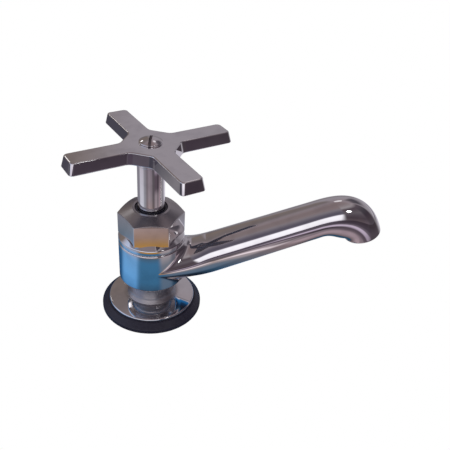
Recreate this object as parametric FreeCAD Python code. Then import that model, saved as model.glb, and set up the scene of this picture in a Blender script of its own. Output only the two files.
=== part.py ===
import FreeCAD, Part
import math
import os

# Cross handle pillar tap of the screw-down kind, in millimetres, drawn with the valve shut.
# +Z runs up the spindle and the spout reaches out along +X. The origin is the centre of the
# base washer's underside, the face that stands on the basin.

# Threads are drawn plain, and these gaps are left on the radius.
thread_gap = 0.12
running_gap = 0.06
washer_gap = 0.4

# Basin and the fixings below it
basin_thickness = 15.0
shank_radius = 10.48
shank_length = 45.0
shank_chamfer = 1.2
under_washer_radius = 19.0
under_washer_thickness = 3.0
steel_washer_radius = 17.0
steel_washer_thickness = 1.5
backnut_across_flats = 30.0
backnut_height = 8.0

# Base washer, flange and neck
base_washer_radius = 25.0
base_washer_top_radius = 22.3
base_washer_height = 4.4
base_washer_edge = 2.0
flange_radius = 21.5
flange_edge = 1.5
flange_rise = 3.1
neck_foot_radius = 12.3
neck_radius = 11.0

# Body and valve chamber
body_radius = 15.9
body_bottom = 18.7
body_height = 21.1
edge_rounding = 0.9
chamber_radius = 11.2
floor_thickness = 1.5
inlet_radius = 6.5
seat_bore_radius = 5.5
seat_bore_length = 12.0
seat_height = 1.2
seat_land = 0.9
seal_outer_radius = 13.4
seal_thickness = 1.2
seal_standing = 0.2

# Spout, cast in one with the body
spout_reach = 105.4
spout_rise_angle = 20.3
spout_axis_height = 20.0
spout_radius = 9.9
spout_end_radius = 9.2
spout_wall = 2.4
root_length = 30.0
root_inset = 0.05
root_shoulder = 2.1
root_step = 0.5
root_ease = 1.7
root_stations = 8
root_blend = 3.5
port_half_width = 8.5
crown_bend_radius = 26.0
crown_bend_angle = 30.0
nose_bend_radius = 14.5
nose_swell = 1.8
mouth_tilt = 70.0
mouth_bore_radius = 7.4
mouth_bore_length = 4.0

# Bonnet
collar_height = 2.6
collar_slope = 1.8
hex_across_flats = 27.6
hex_height = 9.9
hex_foot = 0.6
cone_rise = 3.3
cone_top_radius = 8.9
spigot_length = 9.0
spindle_bore_depth = 4.5
stuffing_floor = 1.2
stuffing_radius = 7.2
cup_recess_depth = 3.0
cup_radius = 7.8
cup_height = 2.7
cup_floor = 1.1
cup_lip_gap = 0.1

# Packing round the spindle
packing_washer_thickness = 0.8
packing_ring_height = 1.8
gland_nut_height = 3.5
gland_slot_width = 1.4
gland_slot_depth = 1.4

# Jumper and its washer
jumper_radius = 9.2
jumper_plate = 1.8
jumper_rim = 0.7
jumper_rim_height = 1.5
jumper_stem_radius = 3.0
jumper_stem_length = 10.0
seat_washer_thickness = 3.4
stud_radius = 1.5
stud_standing = 0.5
jumper_washer_radius = 3.6
jumper_washer_thickness = 0.6
jumper_nut_across_flats = 5.5
jumper_nut_height = 2.4

# Spindle
spindle_thread_radius = 6.46
spindle_thread_length = 8.5
spindle_foot_radius = 5.5
spindle_foot_length = 4.9
spindle_shaft_radius = 4.4
square_across_flats = 6.4
square_length = 7.0
square_gap = 0.05

# Sleeve and handle
sleeve_radius = 6.3
sleeve_wall = 1.2
sleeve_end_rounding = 1.0
sleeve_clearance = 0.3
handle_top = 90.6
arm_thickness = 5.6
arm_reach = 37.8
arm_half_width = 5.0
arm_draft_end = 1.4
arm_draft_side = 0.8
arm_azimuth = 25.7
crotch_reach = 12.4
arm_rounding = 0.5
boss_radius = 8.4
boss_length = 4.7
boss_end_radius = 6.6
boss_flare_rounding = 5.0
boss_spigot_length = 3.0

# Handle screw
screw_radius = 2.0
screw_length = 11.0
screw_head_radius = 5.3
screw_head_edge = 0.6
screw_head_height = 2.4
screw_slot_width = 1.2
screw_slot_depth = 1.3
screw_slot_azimuth = -97.0
screw_washer_radius = 4.5
screw_washer_thickness = 1.0
handle_web = 1.2
square_end_gap = 0.3

# Levels that follow from the sizes above
shank_end = -shank_length
under_washer_bottom = -basin_thickness - under_washer_thickness
steel_washer_bottom = under_washer_bottom - steel_washer_thickness
backnut_bottom = steel_washer_bottom - backnut_height
flange_bottom = base_washer_height
flange_crease = flange_bottom + flange_rise
body_top = body_bottom + body_height
root_top = body_top - root_shoulder
chamber_floor = body_bottom + floor_thickness
seat_top = chamber_floor + seat_height
bonnet_bottom = body_top + seal_standing
hex_bottom = bonnet_bottom + collar_height + collar_slope - hex_foot
hex_top = hex_bottom + hex_foot + hex_height
bonnet_top = hex_top + cone_rise
spigot_bottom = bonnet_bottom - spigot_length
spindle_bore_top = bonnet_bottom + spindle_bore_depth
stuffing_bottom = spindle_bore_top + stuffing_floor
cup_bottom = bonnet_top - cup_recess_depth
lower_packing_bottom = stuffing_bottom + packing_washer_thickness
upper_packing_bottom = lower_packing_bottom + packing_ring_height
gland_nut_bottom = upper_packing_bottom + packing_ring_height
gland_nut_top = gland_nut_bottom + gland_nut_height
plate_bottom = seat_top + seat_washer_thickness
plate_top = plate_bottom + jumper_plate
jumper_washer_bottom = seat_top - jumper_washer_thickness
jumper_nut_bottom = jumper_washer_bottom - jumper_nut_height
arm_bottom = handle_top - arm_thickness
boss_bottom = arm_bottom - boss_length
sleeve_bottom = cup_bottom + cup_floor + sleeve_clearance
screw_washer_bottom = handle_top - screw_washer_thickness
square_hole_top = screw_washer_bottom - handle_web
spindle_top = square_hole_top - square_end_gap
spindle_shoulder = spindle_top - square_length

vector = FreeCAD.Vector
origin = vector(0, 0, 0)
upward = vector(0, 0, 1)


def corner(before, point, after, radius):
    # The two tangent points and the middle of the arc that rounds one corner of an outline.
    to_before = (before - point).normalize()
    to_after = (after - point).normalize()
    half_angle = to_before.getAngle(to_after) / 2
    inward = (to_before + to_after).normalize()
    reach = radius / math.tan(half_angle)
    middle = point + inward * (radius / math.sin(half_angle) - radius)
    return point + to_before * reach, middle, point + to_after * reach


def turned(outline):
    # A solid of revolution. The outline holds (radius, height, corner rounding) points.
    points = [vector(radius, 0, height) for radius, height, rounding in outline]
    edges = []
    starts = []
    ends = []
    for index, point in enumerate(points):
        rounding = outline[index][2]
        if rounding == 0:
            starts.append(point)
            ends.append(point)
            continue
        following = points[(index + 1) % len(points)]
        first, middle, last = corner(points[index - 1], point, following, rounding)
        edges.append(Part.Arc(first, middle, last).toShape())
        starts.append(first)
        ends.append(last)
    for index in range(len(points)):
        following = starts[(index + 1) % len(points)]
        edges.append(Part.LineSegment(ends[index], following).toShape())
    face = Part.Face(Part.Wire(Part.__sortEdges__(edges)))
    return face.revolve(origin, upward, 360)


def cylinder(radius, bottom, top):
    return Part.makeCylinder(radius, top - bottom, vector(0, 0, bottom))


def ring(outer, inner, bottom, top):
    return cylinder(outer, bottom, top).cut(cylinder(inner, bottom, top))


def prism(corners, bottom, top):
    outline = [vector(x, y, bottom) for x, y in corners]
    face = Part.Face(Part.makePolygon(outline + outline[:1]))
    return face.extrude(vector(0, 0, top - bottom))


def polygon_corners(sides, across_flats, azimuth):
    radius = across_flats / 2 / math.cos(math.pi / sides)
    angles = [math.radians(azimuth + 360 * index / sides) for index in range(sides)]
    return [(radius * math.cos(angle), radius * math.sin(angle)) for angle in angles]


def chamfered_hexagon(across_flats, bottom, top, chamfer, azimuth):
    # A hexagon whose corners are turned off at both ends.
    corner_radius = across_flats / math.sqrt(3)
    flat_radius = across_flats / 2
    blank = prism(polygon_corners(6, across_flats, azimuth), bottom, top)
    limit = turned([
        (0, bottom, 0),
        (flat_radius, bottom, 0),
        (corner_radius, bottom + chamfer, 0),
        (corner_radius, top - chamfer, 0),
        (flat_radius, top, 0),
        (0, top, 0),
    ])
    return blank.common(limit)


# ---- Spout: stations along its centre line ----

rise = math.radians(spout_rise_angle)
crown_turn = math.radians(crown_bend_angle)
crown_end = rise - crown_turn
nose_turn = crown_end + math.radians(mouth_tilt)
crown_length = crown_bend_radius * crown_turn
bend_length = crown_length + nose_bend_radius * nose_turn
crown_run = crown_bend_radius * (math.sin(rise) - math.sin(crown_end))
nose_run = nose_bend_radius * (math.sin(crown_end) + math.sin(math.radians(mouth_tilt)))
bend_start_x = spout_reach - crown_run - nose_run


def centre_line(x):
    return spout_axis_height + x * math.tan(rise)


def softly_higher(first, second):
    # The higher of two levels, eased over a short stretch where they cross.
    overlap = max(root_ease - abs(first - second), 0) / root_ease
    return max(first, second) + overlap * overlap * root_ease / 4


def root_station(fraction, low_level, high_level, half_width, radius):
    # Its bottom and top run level out of the body, then along the straight barrel's own lines.
    x = fraction * root_length
    slant = radius / math.cos(rise)
    lean = fraction * radius * math.sin(rise)
    high = softly_higher(high_level, centre_line(x - lean) + slant)
    low = softly_higher(low_level, centre_line(x + lean) - slant)
    tilt = math.atan2(2 * lean, high - low)
    half_height = math.hypot(2 * lean, high - low) / 2
    narrowing = fraction * fraction * (3 - 2 * fraction)
    width = half_width + (radius - half_width) * narrowing
    return x, (high + low) / 2, tilt, width, half_height


def barrel_station(fraction, start_radius, end_radius):
    x = root_length + fraction * (bend_start_x - root_length)
    radius = start_radius + fraction * (end_radius - start_radius)
    return x, centre_line(x), rise, radius, radius


def bend_station(fraction, radius, swell):
    # An open arc carries the barrel over its crown, and a tighter one turns it down to the mouth.
    x = bend_start_x + crown_bend_radius * math.sin(rise)
    z = centre_line(bend_start_x) - crown_bend_radius * math.cos(rise)
    travelled = fraction * bend_length
    bend_radius = crown_bend_radius
    tilt = rise - travelled / crown_bend_radius
    if travelled > crown_length:
        x -= (crown_bend_radius - nose_bend_radius) * math.sin(crown_end)
        z += (crown_bend_radius - nose_bend_radius) * math.cos(crown_end)
        bend_radius = nose_bend_radius
        tilt = crown_end - (travelled - crown_length) / nose_bend_radius
    x -= bend_radius * math.sin(tilt)
    z += bend_radius * math.cos(tilt)
    swelling = swell * math.sin(math.pi * fraction) ** 2
    return x, z, tilt, radius, radius + swelling


def section(station):
    x, z, tilt, half_width, half_height = station
    angles = [2 * math.pi * step / 16 for step in range(16)]
    points = [
        vector(0, half_width * math.cos(angle), half_height * math.sin(angle))
        for angle in angles
    ]
    curve = Part.BSplineCurve()
    curve.interpolate(Points=points, PeriodicFlag=True)
    oval = Part.Wire(curve.toShape())
    oval.rotate(origin, vector(0, 1, 0), -math.degrees(tilt))
    oval.translate(vector(x, 0, z))
    return oval


def loft(stations):
    return Part.makeLoft([section(station) for station in stations], True, False)


def spout_outside():
    root_bottom = body_bottom + root_step
    half_width = body_radius - root_inset
    stations = [
        root_station(step / root_stations, root_bottom, root_top, half_width, spout_radius)
        for step in range(root_stations)
    ]
    stations += [
        barrel_station(step / 5, spout_radius, spout_end_radius) for step in range(5)
    ]
    stations += [
        bend_station(step / 8, spout_end_radius, nose_swell) for step in range(9)
    ]
    return loft(stations)


def spout_waterway():
    # The port keeps the spout's wall below it. A wider, straight bore ends it at the mouth.
    port_bottom = body_bottom + root_step + spout_wall
    bore = spout_radius - spout_wall
    end_bore = spout_end_radius - spout_wall
    stations = [
        root_station(step / root_stations, port_bottom, spigot_bottom, port_half_width, bore)
        for step in range(root_stations)
    ]
    stations += [barrel_station(step / 5, bore, end_bore) for step in range(5)]
    stations += [bend_station(step / 8, end_bore, 0) for step in range(9)]
    mouth_x, mouth_z, tilt, width, height = stations[-1]
    inward = vector(-math.cos(tilt), 0, -math.sin(tilt))
    mouth = vector(mouth_x, 0, mouth_z)
    overrun = mouth - inward
    mouth_bore = Part.makeCylinder(mouth_bore_radius, mouth_bore_length + 1, overrun, inward)
    return loft(stations).fuse(mouth_bore)


def root_edges(casting):
    # The seam where the spout leaves the body, all of it close to the body's wall.
    return [
        edge
        for edge in casting.Edges
        if edge.Curve.TypeId == "Part::GeomBSplineCurve"
        and 0 < edge.BoundBox.XMin
        and edge.BoundBox.XMax < body_radius + edge_rounding
    ]


# ---- Pieces fixed to the basin ----

def tap_body():
    shell = turned([
        (0, shank_end, 0),
        (shank_radius - shank_chamfer, shank_end, 0),
        (shank_radius, shank_end + shank_chamfer, 0),
        (shank_radius, flange_bottom, 0),
        (flange_radius, flange_bottom, 0.3),
        (flange_radius, flange_bottom + flange_edge, 0.8),
        (neck_foot_radius, flange_crease, 0),
        (neck_radius, flange_crease + 2, 4),
        (neck_radius, body_bottom, 0),
        (body_radius, body_bottom, edge_rounding),
        (body_radius, body_top, edge_rounding),
        (0, body_top, 0),
    ])
    casting = shell.fuse(spout_outside()).removeSplitter()
    casting = casting.makeFillet(root_blend, root_edges(casting))
    seat = turned([
        (seat_bore_radius, chamber_floor, 0),
        (seat_bore_radius + 2 * seat_height + seat_land, chamber_floor, 0),
        (seat_bore_radius + seat_height + seat_land, seat_top, 0),
        (seat_bore_radius + seat_height / 2, seat_top, 0),
        (seat_bore_radius, seat_top - seat_height / 2, 0),
    ])
    chamber = cylinder(chamber_radius, chamber_floor, body_top + 1)
    inlet = cylinder(inlet_radius, shank_end - 1, seat_top - seat_bore_length)
    seat_bore = cylinder(seat_bore_radius, shank_end, seat_top)
    seal_bottom = bonnet_bottom - seal_thickness
    seal_recess = cylinder(seal_outer_radius + thread_gap, seal_bottom, body_top + 1)
    hollow = chamber.fuse([spout_waterway(), inlet, seat_bore, seal_recess]).cut(seat)
    return casting.cut(hollow)


def base_washer():
    bore = shank_radius + washer_gap
    return turned([
        (bore, 0, 0),
        (base_washer_radius, 0, 0.3),
        (base_washer_radius, base_washer_edge, 0.8),
        (base_washer_top_radius, base_washer_height, 0.5),
        (bore, base_washer_height, 0),
    ])


def under_deck_washer():
    bore = shank_radius + washer_gap
    return ring(under_washer_radius, bore, under_washer_bottom, -basin_thickness)


def backnut_washer():
    bore = shank_radius + washer_gap
    return ring(steel_washer_radius, bore, steel_washer_bottom, under_washer_bottom)


def backnut():
    chamfer = backnut_across_flats * (1 / math.sqrt(3) - 0.5) / 2
    blank = chamfered_hexagon(
        backnut_across_flats, backnut_bottom, steel_washer_bottom, chamfer, 0
    )
    bore = cylinder(shank_radius + thread_gap, backnut_bottom, steel_washer_bottom)
    return blank.cut(bore)


# ---- Bonnet and packing ----

def bonnet():
    slope_top = bonnet_bottom + collar_height + collar_slope
    flat_radius = hex_across_flats / 2
    corner_radius = hex_across_flats / math.sqrt(3)
    turned_part = turned([
        (0, spigot_bottom, 0),
        (chamber_radius - thread_gap, spigot_bottom, 0.6),
        (chamber_radius - thread_gap, bonnet_bottom, 0),
        (body_radius, bonnet_bottom, 0.5),
        (body_radius, bonnet_bottom + collar_height, edge_rounding),
        (flat_radius, slope_top, 0),
        (flat_radius - 1, hex_top, 0),
        (0, hex_top, 0),
    ])
    blank = prism(polygon_corners(6, hex_across_flats, 0), hex_bottom, bonnet_top)
    cone = turned([
        (0, hex_bottom, 0),
        (corner_radius, hex_bottom, 0),
        (corner_radius, hex_top, 0),
        (cone_top_radius, bonnet_top, 0.4),
        (0, bonnet_top, 0),
    ])
    stuffing_box = cylinder(stuffing_radius, stuffing_bottom, bonnet_top)
    cup_recess = cylinder(cup_radius, cup_bottom, bonnet_top + 1)
    shaft_hole = cylinder(spindle_shaft_radius + running_gap, spigot_bottom, bonnet_top)
    thread_radius = spindle_thread_radius + running_gap
    thread_hole = cylinder(thread_radius, spigot_bottom - 1, spindle_bore_top)
    hollow = stuffing_box.fuse([cup_recess, shaft_hole, thread_hole])
    return turned_part.fuse(blank.common(cone)).cut(hollow)


def bonnet_seal():
    bottom = bonnet_bottom - seal_thickness
    return ring(seal_outer_radius, chamber_radius, bottom, bonnet_bottom)


def packing_washer():
    inner = spindle_shaft_radius + 2 * running_gap
    outer = stuffing_radius - running_gap
    return ring(outer, inner, stuffing_bottom, lower_packing_bottom)


def packing_ring(bottom):
    inner = spindle_shaft_radius + running_gap
    outer = stuffing_radius - running_gap
    return ring(outer, inner, bottom, bottom + packing_ring_height)


def lower_packing_ring():
    return packing_ring(lower_packing_bottom)


def upper_packing_ring():
    return packing_ring(upper_packing_bottom)


def gland_nut():
    inner = spindle_shaft_radius + 2 * running_gap
    nut = ring(stuffing_radius - thread_gap, inner, gland_nut_bottom, gland_nut_top)
    slot = Part.makeBox(
        2 * stuffing_radius,
        gland_slot_width,
        gland_slot_depth,
        vector(-stuffing_radius, -gland_slot_width / 2, gland_nut_top - gland_slot_depth),
    )
    return nut.cut(slot)


def stem_cup():
    # Its floor wipes the spindle, and its rim stands round the end of the sleeve.
    rim_inner = sleeve_radius + cup_lip_gap
    outer = cup_radius - running_gap
    shaft = spindle_shaft_radius + running_gap
    rim_top = cup_bottom + cup_height
    rounding = (outer - rim_inner) * 0.4
    return turned([
        (shaft, cup_bottom, 0.2),
        (outer, cup_bottom, 0.2),
        (outer, rim_top, rounding),
        (rim_inner, rim_top, rounding),
        (rim_inner, cup_bottom + cup_floor, 0.2),
        (shaft, cup_bottom + cup_floor, 0.2),
    ])


# ---- Jumper, which lifts off the seat ----

def jumper():
    rim_bottom = plate_bottom - jumper_rim_height
    stud_bottom = jumper_nut_bottom - stud_standing
    stem_top = plate_top + jumper_stem_length
    return turned([
        (0, stud_bottom, 0),
        (stud_radius, stud_bottom, 0),
        (stud_radius, plate_bottom, 0),
        (jumper_radius - jumper_rim, plate_bottom, 0),
        (jumper_radius - jumper_rim, rim_bottom, 0),
        (jumper_radius, rim_bottom, 0),
        (jumper_radius, plate_top, 0.5),
        (jumper_stem_radius, plate_top, 0),
        (jumper_stem_radius, stem_top, 0.5),
        (0, stem_top, 0),
    ])


def seat_washer():
    outer = jumper_radius - jumper_rim - running_gap
    return ring(outer, stud_radius + running_gap, seat_top, plate_bottom)


def jumper_washer():
    inner = stud_radius + thread_gap
    return ring(jumper_washer_radius, inner, jumper_washer_bottom, seat_top)


def jumper_nut():
    chamfer = 0.35
    blank = chamfered_hexagon(
        jumper_nut_across_flats, jumper_nut_bottom, jumper_washer_bottom, chamfer, 0
    )
    inner = stud_radius + thread_gap
    return blank.cut(cylinder(inner, jumper_nut_bottom, jumper_washer_bottom))


# ---- Spindle and handle, which turn together ----

def spindle():
    foot_top = plate_top + spindle_foot_length
    thread_top = foot_top + spindle_thread_length
    shaft = turned([
        (0, plate_top, 0),
        (spindle_foot_radius, plate_top, 0.4),
        (spindle_foot_radius, foot_top, 0),
        (spindle_thread_radius, foot_top, 0.5),
        (spindle_thread_radius, thread_top, 0.5),
        (spindle_shaft_radius, thread_top, 0),
        (spindle_shaft_radius, spindle_shoulder, 0),
        (0, spindle_shoulder, 0),
    ])
    corners = polygon_corners(4, square_across_flats, arm_azimuth)
    square = prism(corners, spindle_shoulder, spindle_top)
    limit = cylinder(spindle_shaft_radius, spindle_shoulder, spindle_top)
    socket_top = plate_top + jumper_stem_length + 0.5
    socket = cylinder(jumper_stem_radius + running_gap, plate_top - 1, socket_top)
    screw_end = handle_top - screw_length
    screw_hole = cylinder(screw_radius + thread_gap, screw_end - 1, spindle_top + 1)
    return shaft.fuse(square.common(limit)).cut(socket.fuse(screw_hole))


def handle_sleeve():
    inner = sleeve_radius - sleeve_wall
    return turned([
        (inner, sleeve_bottom, 0),
        (sleeve_radius, sleeve_bottom, sleeve_end_rounding),
        (sleeve_radius, boss_bottom, 0),
        (inner, boss_bottom, 0),
    ])


def cross_outline(reach, half_width, crotch, level):
    # Four arms with square ends. Between two arms the corner is cut off at 45 degrees.
    corners = []
    for arm in range(4):
        angle = math.radians(arm_azimuth + 90 * arm)
        along = vector(math.cos(angle), math.sin(angle), 0)
        across = vector(-math.sin(angle), math.cos(angle), 0)
        corners.append(along * crotch - across * half_width)
        corners.append(along * reach - across * half_width)
        corners.append(along * reach + across * half_width)
        corners.append(along * crotch + across * half_width)
    lifted = [point + upward * level for point in corners]
    return Part.makePolygon(lifted + lifted[:1])


def cross_handle():
    top = cross_outline(arm_reach, arm_half_width, crotch_reach, handle_top)
    bottom = cross_outline(
        arm_reach + arm_draft_end,
        arm_half_width + arm_draft_side,
        crotch_reach + arm_draft_side,
        arm_bottom,
    )
    cross = Part.makeLoft([bottom, top], True, True)
    cross = cross.makeFillet(arm_rounding, cross.Edges)
    spigot_radius = sleeve_radius - sleeve_wall - running_gap
    spigot_end = boss_bottom - boss_spigot_length
    boss = turned([
        (0, spigot_end, 0),
        (spigot_radius, spigot_end, 0.3),
        (spigot_radius, boss_bottom, 0),
        (boss_end_radius, boss_bottom, 0.2),
        (boss_end_radius, boss_bottom + boss_length / 2, boss_flare_rounding),
        (boss_radius, arm_bottom, 0),
        (boss_radius, arm_bottom + 1, 0),
        (0, arm_bottom + 1, 0),
    ])
    side = square_across_flats + 2 * square_gap
    corners = polygon_corners(4, side, arm_azimuth)
    square_hole = prism(corners, spindle_shoulder, square_hole_top)
    shaft = spindle_shaft_radius + square_gap
    square_hole = square_hole.common(cylinder(shaft, spindle_shoulder, square_hole_top))
    shaft_hole = cylinder(shaft, spigot_end, spindle_shoulder)
    screw_hole = cylinder(screw_radius + thread_gap, spigot_end, handle_top + 1)
    washer_recess = cylinder(screw_washer_radius + thread_gap, screw_washer_bottom, handle_top + 1)
    hollow = screw_hole.fuse([square_hole, shaft_hole, washer_recess])
    return cross.fuse(boss).cut(hollow)


def handle_screw():
    edge = handle_top + screw_head_edge
    crown = handle_top + screw_head_height
    slant = math.hypot(screw_head_radius, crown - edge)
    dome_radius = slant * slant / 2 / (crown - edge)
    dome_centre = vector(0, 0, crown - dome_radius)
    head = cylinder(screw_head_radius, handle_top, crown)
    head = head.common(Part.makeSphere(dome_radius, dome_centre))
    thread = cylinder(screw_radius, handle_top - screw_length, handle_top)
    slot = Part.makeBox(
        2 * screw_head_radius,
        screw_slot_width,
        screw_slot_depth,
        vector(-screw_head_radius, -screw_slot_width / 2, crown - screw_slot_depth),
    )
    slot.rotate(origin, upward, screw_slot_azimuth)
    return head.fuse(thread).cut(slot)


def screw_washer():
    inner = screw_radius + thread_gap
    return ring(screw_washer_radius, inner, screw_washer_bottom, handle_top)


pieces = [
    tap_body,
    base_washer,
    under_deck_washer,
    backnut_washer,
    backnut,
    bonnet,
    bonnet_seal,
    packing_washer,
    lower_packing_ring,
    upper_packing_ring,
    gland_nut,
    stem_cup,
    jumper,
    seat_washer,
    jumper_washer,
    jumper_nut,
    spindle,
    handle_sleeve,
    cross_handle,
    handle_screw,
    screw_washer,
]

os.makedirs("parts", exist_ok=True)
for piece in pieces:
    shape = piece()
    shape.exportStep("parts/" + piece.__name__ + ".step")
    print(piece.__name__, len(shape.Solids), shape.isValid(), round(shape.Volume, 1))
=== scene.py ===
import math

import bmesh
import bpy
import numpy as np
from mathutils import Matrix, Vector


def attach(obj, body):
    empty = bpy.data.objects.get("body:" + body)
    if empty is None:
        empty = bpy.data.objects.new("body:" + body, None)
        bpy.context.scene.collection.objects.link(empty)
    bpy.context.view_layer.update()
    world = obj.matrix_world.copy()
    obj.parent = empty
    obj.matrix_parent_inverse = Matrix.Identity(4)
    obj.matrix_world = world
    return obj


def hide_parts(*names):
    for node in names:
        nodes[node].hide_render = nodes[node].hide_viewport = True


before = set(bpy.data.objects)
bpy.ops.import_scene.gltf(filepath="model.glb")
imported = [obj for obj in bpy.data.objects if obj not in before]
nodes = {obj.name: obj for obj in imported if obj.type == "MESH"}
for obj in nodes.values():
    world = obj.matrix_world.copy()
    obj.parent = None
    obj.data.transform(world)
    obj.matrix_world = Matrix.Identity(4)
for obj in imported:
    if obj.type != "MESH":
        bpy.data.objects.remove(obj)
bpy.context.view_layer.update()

# The tap is measured in millimetres here, and each finished mesh is scaled to metres.
mm = 0.001
print("frame loaded:", len(nodes), "pieces")


# Outlines and turned pieces

def roundedRuns(outline, stepAngle=7.0):
    # Splits a closed (radius, height, rounding) outline into short runs, each with the
    # surface's direction at both of its ends.
    points = [np.array(corner[:2], float) for corner in outline]
    count = len(points)
    directions = []
    for index in range(count):
        along = points[(index + 1) % count] - points[index]
        directions.append(along / np.linalg.norm(along))
    runs = []
    for index, point in enumerate(points):
        before, after = directions[index - 1], directions[index]
        turn = math.atan2(before[0] * after[1] - before[1] * after[0], before @ after)
        rounding = outline[index][2]
        reach = rounding * abs(math.tan(turn / 2))
        start = point - before * reach
        facing = np.array([before[1], -before[0]])
        arc = [(start, facing)]
        if reach > 0:
            steps = max(2, math.ceil(abs(math.degrees(turn)) / stepAngle))
            side = math.copysign(1, turn)
            for step in range(1, steps + 1):
                angle = turn * step / steps
                turned = np.array([
                    facing[0] * math.cos(angle) - facing[1] * math.sin(angle),
                    facing[0] * math.sin(angle) + facing[1] * math.cos(angle),
                ])
                arc.append((start + side * rounding * (turned - facing), turned))
        runs.append(arc)
    segments = []
    for index, arc in enumerate(runs):
        for first, second in zip(arc, arc[1:]):
            segments.append((first[0], second[0], first[1], second[1]))
        along = directions[index]
        facing = np.array([along[1], -along[0]])
        following = runs[(index + 1) % count][0][0]
        if np.linalg.norm(following - arc[-1][0]) > 1e-9:
            segments.append((arc[-1][0], following, facing, facing))
    return segments


def placed(data, name):
    # An object with this mesh, lamp or lens, in the scene.
    thing = bpy.data.objects.new(name, data)
    bpy.context.scene.collection.objects.link(thing)
    return thing


def meshed(name, vertices, faces):
    # An object made of these points and faces.
    mesh = bpy.data.meshes.new(name)
    mesh.from_pydata(vertices, [], faces)
    return placed(mesh, name)


def lofted(name, rings, looped=False):
    # A closed object through rings of as many points each, with flat ends unless it is looped.
    count = len(rings[0])
    total = len(rings) * count
    faces = []
    for start in range(0, total if looped else total - count, count):
        for step in range(count):
            low, following = start + step, start + (step + 1) % count
            faces.append((low, following, (following + count) % total, (low + count) % total))
    if not looped:
        faces += [tuple(reversed(range(count))), tuple(range(total - count, total))]
    return meshed(name, [point for ring in rings for point in ring], faces)


def measured(size, rows):
    # An outline in which the names of a piece's sizes are looked up.
    return [tuple(size.get(value, value) for value in row) for row in rows]


def turned(name, size, rows, around):
    # Turns a measured outline round the spindle's axis.
    segments = roundedRuns(measured(size, rows))
    segments = [run for run in segments if run[0][0] > 1e-6 or run[1][0] > 1e-6]
    angles = [2 * math.pi * step / around for step in range(around)]
    turns = [(math.cos(angle), math.sin(angle)) for angle in angles]
    vertices = []
    rings = {}

    def ring(point):
        key = (round(point[0], 6), round(point[1], 6))
        if key not in rings:
            start = len(vertices)
            if point[0] < 1e-6:
                vertices.append((0, 0, point[1] * mm))
                rings[key] = [start] * around
            else:
                for cosine, sine in turns:
                    place = (point[0] * cosine, point[0] * sine, point[1])
                    vertices.append([value * mm for value in place])
                rings[key] = list(range(start, start + around))
        return rings[key]

    faces = []
    normals = []
    for first, second, firstFacing, secondFacing in segments:
        low, high = ring(first), ring(second)
        for step in range(around):
            following = (step + 1) % around
            corners = [
                (low[step], step, firstFacing),
                (low[following], following, firstFacing),
                (high[following], following, secondFacing),
                (high[step], step, secondFacing),
            ]
            if first[0] < 1e-6:
                corners.pop(1)
            if second[0] < 1e-6:
                corners.pop(3)
            faces.append([corner[0] for corner in corners])
            for point, turn, facing in corners:
                cosine, sine = turns[turn]
                normals.append((facing[0] * cosine, facing[0] * sine, facing[1]))
    piece = meshed(name, vertices, faces)
    piece.data.shade_smooth()
    piece.data.normals_split_custom_set(normals)
    return piece


def baked(thing):
    # The object's mesh with its modifiers carried out.
    view = bpy.context.evaluated_depsgraph_get()
    mesh = bpy.data.meshes.new_from_object(thing.evaluated_get(view))
    thing.modifiers.clear()
    thing.data = mesh
    return thing


def carved(thing, tool, operation):
    # Joins a tool to a piece, or cuts it away, and removes the tool.
    change = thing.modifiers.new(operation.lower(), "BOOLEAN")
    change.operation = operation
    change.solver = "MANIFOLD"
    change.object = tool
    baked(thing)
    bpy.data.objects.remove(tool)
    return thing


def evenShading(thing, angle=30.0):
    # Smooth shading in which the large faces keep their own direction.
    thing.data.shade_smooth()
    thing.data.set_sharp_from_angle(angle=math.radians(angle))
    weighting = thing.modifiers.new("weighting", "WEIGHTED_NORMAL")
    weighting.keep_sharp = True
    weighting.weight = 80
    return baked(thing)


# Materials

class Wire:
    # A shader socket on which sums are written as plain arithmetic.
    def __init__(self, tree, socket):
        self.tree = tree
        self.socket = socket

    def beside(self, output):
        # Another output of the same node.
        return Wire(self.tree, self.socket.node.outputs[output])

    def maths(self, operation, *others):
        node = self.tree.nodes.new("ShaderNodeMath")
        node.operation = operation
        for place, value in zip(node.inputs, (self, *others)):
            if isinstance(value, Wire):
                self.tree.links.new(value.socket, place)
            else:
                place.default_value = value
        return Wire(self.tree, node.outputs[0])

    def __add__(self, other):
        return self.maths("ADD", other)

    __radd__ = __add__

    def __sub__(self, other):
        return self.maths("SUBTRACT", other)

    def __mul__(self, other):
        return self.maths("MULTIPLY", other)

    def __truediv__(self, other):
        return self.maths("DIVIDE", other)


class Finish:
    # A node tree, with one call that adds a node.
    def __init__(self, owner):
        owner.use_nodes = True
        self.tree = owner.node_tree
        self.tree.nodes.clear()

    def node(self, kind, settings=None, sockets=None, output=0):
        node = self.tree.nodes.new(kind)
        for name, value in (settings or {}).items():
            if name == "stops":
                stops = node.color_ramp.elements
                stops[0].position, stops[1].position = value[0][0], value[-1][0]
                for position, colour in value[1:-1]:
                    stops.new(position)
                for stop, (position, colour) in zip(stops, value):
                    stop.color = (*colour, 1.0)
            else:
                setattr(node, name, value)
        for name, value in (sockets or {}).items():
            if isinstance(value, Wire):
                self.tree.links.new(value.socket, node.inputs[name])
            else:
                node.inputs[name].default_value = value
        if not node.outputs:
            return node
        return Wire(self.tree, node.outputs[output])

    def between(self, amount, low, high, fromLow, fromHigh):
        # Goes smoothly from low to high while the amount goes from fromLow to fromHigh.
        return self.node("ShaderNodeMapRange", {"interpolation_type": "SMOOTHSTEP"}, {
            "Value": amount,
            "From Min": fromLow, "From Max": fromHigh,
            "To Min": low, "To Max": high,
        })

    def mixed(self, amount, first, second):
        return self.node(
            "ShaderNodeMix", {"data_type": "RGBA"}, {0: amount, 6: first, 7: second}, output=2
        )


def newFinish(name):
    material = bpy.data.materials.new(name)
    return material, Finish(material)


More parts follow.
